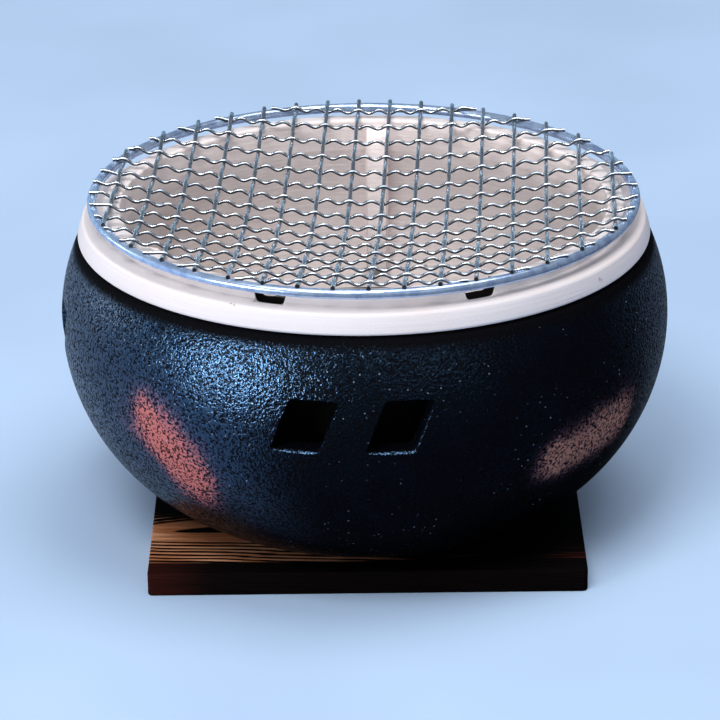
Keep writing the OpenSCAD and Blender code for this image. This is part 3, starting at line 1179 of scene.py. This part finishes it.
@dataclass
class Net:
    """The dished woven net: a rod rim with straight and crimped wires welded on."""

    rim_r: float = 108.05
    rod_r: float = 1.95
    straight_r: float = 0.85
    crimped_r: float = 0.70
    pitch: float = 13.25
    side_wires: int = 8
    dish: float = 15.0
    power: float = 1.4
    net_z: float = 137.31
    rim_z: float = 134.66
    crimp_swing: float = 0.78
    straight_swing: float = 0.84
    half_waves: int = 3
    overhang: float = 1.0
    rim_keep: float = 2.5
    end_run: float = 2.6
    end_gap: float = 0.16
    turn: float = -2.8
    weld_turn: float = 178.0
    weld_swells: tuple[Point2, ...] = ((4.6, 0.05), (2.4, 0.07))
    rim_segments: int = 288
    rod_facets: int = 28
    straight_steps: int = 5
    crimped_steps: int = 6
    straight_rounds: int = 3
    crimped_rounds: int = 2
    crisp: float = 50.0
    body: str = "net"

    def numbers(self) -> range:
        """Numbers of the wires in either direction."""
        return range(1, 2 * self.side_wires + 1)

    def offset(self, k: int) -> float:
        """Distance of wire number k, from 1, from the middle."""
        return (k - 0.5 - self.side_wires) * self.pitch

    def dish_z(self, u: float, v: float) -> float:
        """Height of the mesh's middle layer at a place in the net."""
        r = min(math.hypot(u, v), self.rim_r)
        return self.net_z - self.dish * (1 - (r / self.rim_r) ** self.power)

    def half_chord(self, offset: float) -> float:
        """Half the length of the chord at a distance from the middle."""
        return math.sqrt(self.rim_r**2 - offset**2)

    def woven(self, u: float, v: float) -> bool:
        """Whether two wires are woven where they meet, and not laid on the rim."""
        return math.hypot(u, v) <= self.rim_r - self.rim_keep

    def straight_path(self, k: int) -> list[Vector]:
        """Middle line of a straight wire, which gives way a little at each crossing."""
        u = self.offset(k)
        reach = self.half_chord(u)
        knots = [(-reach - self.overhang, 0.0), (-reach, 0.0)]
        for row in self.numbers():
            v = self.offset(row)
            if self.woven(u, v) and abs(v) < reach:
                side = 1 if (k + row) % 2 == 0 else -1
                knots.append((v, -self.straight_swing * side))
        knots += [(reach, 0.0), (reach + self.overhang, 0.0)]
        line = self._wave(knots, self.straight_steps)
        return [Vector((u, v, self.dish_z(u, v) + dz)) for v, dz in line]

    def crimped_end(self, v: float, side: int) -> float:
        """How far a crimped wire reaches before the rim or a wire laid on it stops it."""
        reach = self.half_chord(v) + self.overhang
        for k in self.numbers():
            u = abs(self.offset(k))
            ahead = self.offset(k) * side > 0 and not self.woven(u, v) and u < self.rim_r
            if ahead and self.half_chord(u) + self.overhang > abs(v) - 2 * self.crimped_r:
                reach = min(reach, u - self.straight_r - self.end_gap)
        return reach

    def crimped_path(self, row: int) -> list[Vector]:
        """Middle line of a crimped wire, with a crest or trough at each crossing and between."""
        v = self.offset(row)
        low, high = -self.crimped_end(v, -1), self.crimped_end(v, 1)
        rest_z = self.net_z - self.straight_r + self.crimped_r
        step = self.pitch / self.half_waves

        def lift(u: float) -> Point2:
            """A point at the resting height of the wire's ends."""
            return (u, rest_z - self.dish_z(u, v))

        knots = [lift(low), lift(low + self.overhang)]
        margin = self.end_run + self.overhang
        for m in range(-self.half_waves, 2 * self.half_waves * self.side_wires + 1):
            u = self.offset(1) + m * step
            if low + margin < u < high - margin:
                side = 1 if (m + 1 + row) % 2 == 0 else -1
                knots.append((u, self.crimp_swing * side))
        knots += [lift(high - self.overhang), lift(high)]
        line = self._wave(knots, self.crimped_steps)
        return [Vector((u, v, self.dish_z(u, v) + dz)) for u, dz in line]

    def _wave(self, knots: Outline, steps: int) -> list[Point2]:
        """Joins knots by half cosine waves.

        Args:
            knots: place along the wire and height over the dish.
            steps: number of points for each stretch.

        Returns:
            The points.
        """
        line = []
        for (s0, h0), (s1, h1) in zip(knots, knots[1:]):
            for i in range(steps):
                t = i / steps
                line.append((s0 + (s1 - s0) * t, h0 + (h1 - h0) * ease(t)))
        return [*line, knots[-1]]

    def wire(self, name: str, path: Sequence[Vector], radius: float, rounds: int) -> Piece:
        """Draws a wire along a path.

        Args:
            name: the piece's name.
            path: points of its middle line, before the net's turn.
            radius: the wire's radius.
            rounds: Blender's resolution of its round section.

        Returns:
            The closed mesh.
        """
        about = Matrix.Rotation(math.radians(self.turn), 4, "Z")
        points = [about @ p * MM for p in path]
        Bench.clear()
        bpy.ops.curve.primitive_nurbs_path_add()
        curve = bpy.context.object
        curve.data.splines.clear()
        spline = curve.data.splines.new("POLY")
        spline.points.add(len(points) - 1)
        for point, place in zip(spline.points, points):
            point.co = (*place, 1)
        curve.data.bevel_depth = radius * MM
        curve.data.bevel_resolution = rounds
        curve.data.use_fill_caps = True
        curve.data.twist_mode = "Z_UP"
        bpy.ops.object.convert(target="MESH")
        Bench.mode("EDIT")
        Bench.take_all()
        bpy.ops.mesh.remove_doubles(threshold=0.01 * MM)
        piece = Bench.seal(name)
        Bench.smooth(piece, self.crisp)
        return piece

    def rim(self) -> Piece:
        """Bends the rod to a ring and thickens it at its butt weld."""
        Bench.clear()
        bpy.ops.mesh.primitive_torus_add(
            major_radius=self.rim_r * MM,
            minor_radius=self.rod_r * MM,
            major_segments=self.rim_segments,
            minor_segments=self.rod_facets,
            location=(0, 0, self.rim_z * MM),
        )
        bpy.ops.object.transform_apply(location=True, rotation=True, scale=True)
        rim = bpy.context.object
        seam = math.radians(self.weld_turn)
        middle = Vector((math.sin(seam), -math.cos(seam), 0)) * self.rim_r
        middle.z = self.rim_z
        for reach, swell in self.weld_swells:
            Bench.pick(rim, "VERT", lambda at, near=reach: (at.co / MM - middle).length < near)
            bpy.ops.transform.shrink_fatten(value=swell * MM)
        Bench.label("net_rim_rod")
        Bench.smooth(rim, self.crisp)
        return rim

    def dress(self) -> None:
        """Builds the rod and the wires, finishes them and sets them in the frame."""
        rod_finish, wire_finish = ROD_STEEL.make(), WIRE_STEEL.make()
        settle(self.rim(), rod_finish, self.body, "net_rim")
        kinds = (
            ("straight", self.straight_path, self.straight_r, self.straight_rounds),
            ("crimped", self.crimped_path, self.crimped_r, self.crimped_rounds),
        )
        for k in self.numbers():
            for kind, path, radius, rounds in kinds:
                piece = self.wire(f"{kind}_{k:02d}", path(k), radius, rounds)
                settle(piece, wire_finish, self.body, f"{kind}_wire_{k:02d}")


@dataclass
class Lamp:
    """One softbox; lengths in metres, turn and height in degrees."""

    name: str
    turn: float
    height: float
    away: float
    width: float
    tall: float
    power: float
    colour: Colour = (1.0, 0.99, 0.97)

    def place(self, aim: Vector) -> None:
        """Sets the lamp round a point.

        Args:
            aim: the point that it shines at, in metres.
        """
        turn, height = math.radians(self.turn), math.radians(self.height)
        level = math.cos(height)
        back = Vector((math.sin(turn) * level, -math.cos(turn) * level, math.sin(height)))
        bpy.ops.object.light_add(type="AREA", location=aim + back * self.away)
        lamp = bpy.context.object
        lamp.name = self.name
        lamp.rotation_euler = (-back).to_track_quat("-Z", "Y").to_euler()
        lamp.data.shape = "RECTANGLE"
        lamp.data.size = self.width
        lamp.data.size_y = self.tall
        lamp.data.energy = self.power
        lamp.data.color = self.colour


@dataclass
class Studio:
    """Camera, lamps, world and the pale blue table."""

    aim: Point3 = (-2.1, 0.0, 64.477)
    elevation: float = 22.66
    roll: float = -0.621
    distance: float = 1454.1
    focal_px: float = 3581.1
    frame_px: float = 720.0
    rise_px: float = 3.0
    sensor: float = 36.0
    lit: Point3 = (0.0, 0.0, 0.08)
    table_r: float = 4.0
    lamp_set: tuple[Lamp, ...] = (
        Lamp("left_strip", -48, 5, 3.0, 0.9, 0.45, 52),
        Lamp("far_left_strip", -113, 6, 3.0, 0.9, 0.4, 7),
        Lamp("front_strip", 22, 18, 3.0, 1.2, 0.2, 2),
        Lamp("left_softbox", -26, 56, 3.0, 1.4, 1.2, 66),
        Lamp("top_softbox", 70, 78, 2.6, 1.5, 1.5, 38),
    )
    backdrop: Colour = (0.47, 0.62, 0.87)
    mirrored: Colour = (0.23, 0.42, 0.56)
    table_colour: Colour = (0.325, 0.44, 0.61)
    table_pale: Colour = (0.355, 0.48, 0.665)
    fill: Colour = (0.46, 0.48, 0.53)
    dark: Colour = (0.004, 0.005, 0.007)

    def camera(self) -> None:
        """Sets the camera at the photograph's viewing angle."""
        tilt = math.radians(self.elevation)
        forward = Vector((0, math.cos(tilt), -math.sin(tilt)))
        up = Vector((0, math.sin(tilt), math.cos(tilt)))
        right = Vector((1, 0, 0))
        rise = self.rise_px * self.distance / self.focal_px * MM
        sight = Vector(self.aim) * MM - up * rise
        turn = math.radians(self.roll)
        across = right * math.cos(turn) + up * math.sin(turn)
        upward = up * math.cos(turn) - right * math.sin(turn)
        bpy.ops.object.camera_add()
        camera = bpy.context.object
        camera.name = "photo_camera"
        rows = Matrix((across, upward, -forward)).transposed().to_4x4()
        camera.matrix_world = Matrix.Translation(sight - forward * self.distance * MM) @ rows
        camera.data.sensor_width = self.sensor
        camera.data.lens = self.focal_px / self.frame_px * self.sensor
        camera.data.clip_start = 0.05
        camera.data.clip_end = 20.0
        bpy.context.scene.camera = camera

    def lamps(self) -> None:
        """Sets three low strips, a high softbox at the left front and one above."""
        for lamp in self.lamp_set:
            lamp.place(Vector(self.lit))

    def world(self) -> None:
        """Makes a room with a bright backdrop and a dark camera side.

        The camera itself sees the backdrop's colour all round.
        """
        world = bpy.data.worlds.new("studio_room")
        bpy.context.scene.world = world
        world.use_nodes = True
        recipe = Recipe("", world.node_tree)
        x, y, z = recipe.split(recipe.place)
        # the backdrop fades upwards, towards the camera and at the right
        behind = (y - x * 0.3).between(-0.6, 0.3) * z.between(0.6, 0.1)
        bright = behind * (1 - x.between(0.15, 0.75) * 0.95)
        reflected = recipe.blend(bright, self.dark, self.mirrored)
        room = recipe.blend(recipe.ray("Is Glossy Ray"), self.fill, reflected)
        colour = recipe.blend(recipe.ray("Is Camera Ray"), room, self.backdrop)
        shade = recipe.node("ShaderNodeBackground", {"Color": colour, "Strength": 1.0})
        recipe.node("ShaderNodeOutputWorld", {"Surface": shade.outputs[0]})

    def table(self) -> None:
        """Lays the pale table under the board."""
        Bench.clear()
        bpy.ops.mesh.primitive_circle_add(vertices=96, radius=self.table_r, fill_type="NGON")
        table = bpy.context.object
        table.name = "table_top"
        recipe = Recipe("table_pale_blue")
        sheet = recipe.blend(
            recipe.grain(180, 2).between(0.3, 0.7), self.table_colour, self.table_pale
        )
        # painted shade seen only in reflections: for glossy rays the table turns dark in front and
        # at the right, so the dark pot mirrors it as if unlit there
        x, y, _ = recipe.axes()
        front = (y - x * 0.6 - x.least(0) * 0.7).between(70, -80)
        unlit = front.most(x.between(-50, 150) * 0.75).most(0.3)
        colour = recipe.blend(recipe.ray("Is Glossy Ray") * unlit, sheet, self.dark)
        finish = recipe.finish({"Base Color": colour, "Roughness": 0.9, "Specular IOR Level": 0.1})
        table.data.materials.append(finish)

    def open(self) -> None:
        """Sets up everything round the object."""
        bpy.context.scene.view_settings.view_transform = "Standard"
        self.camera()
        self.lamps()
        self.world()
        self.table()


def main() -> None:
    """Builds the brazier from the board up, then the studio round it."""
    logging.basicConfig(level=logging.INFO, format="%(message)s")
    for part in (Board(), Pot(), FireBowl(), CharcoalGrate(), Net()):
        part.dress()
    Studio().open()


if __name__ == "__main__":
    main()
